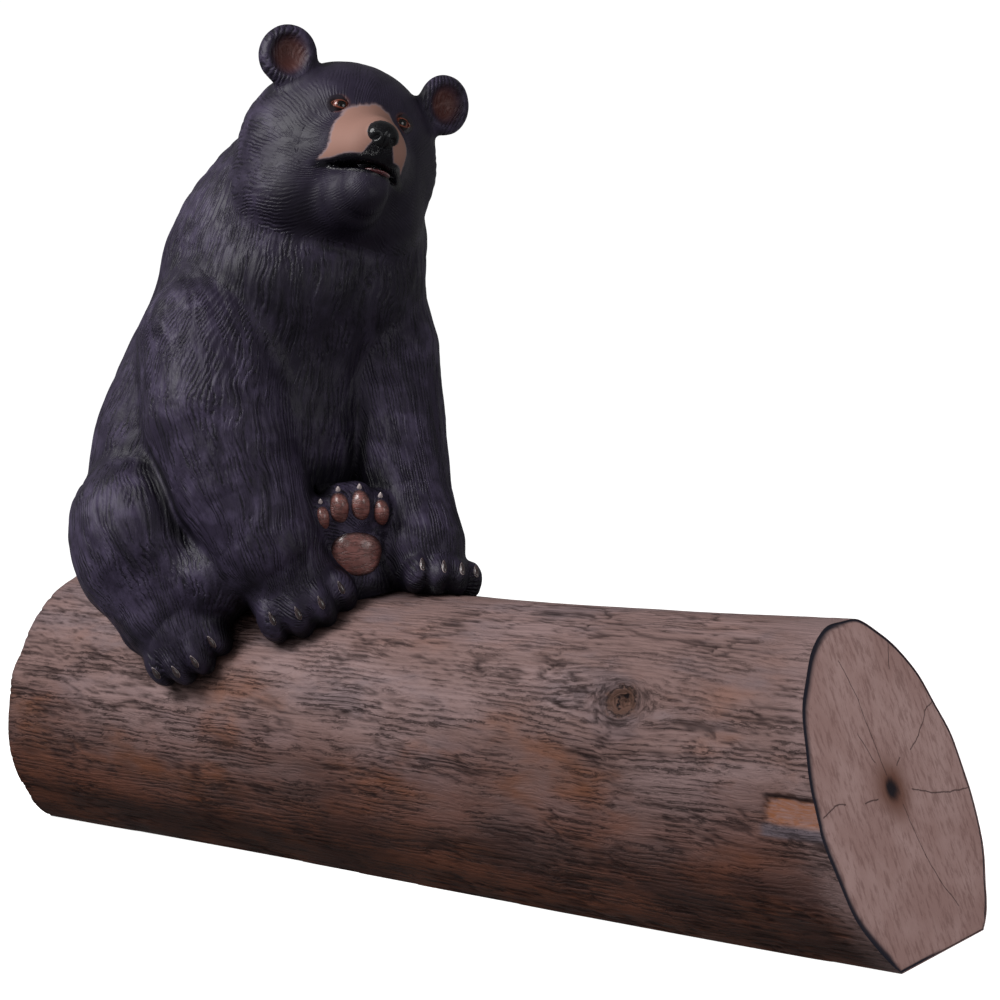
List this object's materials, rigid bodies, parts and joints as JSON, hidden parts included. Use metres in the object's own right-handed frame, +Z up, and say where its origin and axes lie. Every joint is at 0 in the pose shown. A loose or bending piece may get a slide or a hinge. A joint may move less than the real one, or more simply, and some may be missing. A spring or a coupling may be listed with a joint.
{
  "type": "bear on tree trunk statue",
  "caption": "Life-size painted black bear sitting at one end of a sawn log with a hind paw raised, a floor-standing display statue whose free end of log serves as a seat.",
  "frame": {"origin": "middle of the log's flat underside, on the floor", "axes": "+X along the log from the end the bear sits at towards the raked sawn end, +Z up; the bear faces between -Y and +X"},
  "size_m": [1.664, 0.5423, 1.3454],
  "materials": {
    "painted_bark": "matt paint over cast resin: mauve-brown bark with rust patches, pale sawn ends",
    "painted_fur": "satin near-black paint with a blue-violet sheen on the carved fur, tan muzzle, brown pads",
    "eye": "glossy amber-brown set eyes"
  },
  "bodies": {
    "root": {"tree_trunk": "painted_bark", "bear": "painted_fur", "left_eye": "eye", "right_eye": "eye"}
  },
  "joints": []
}
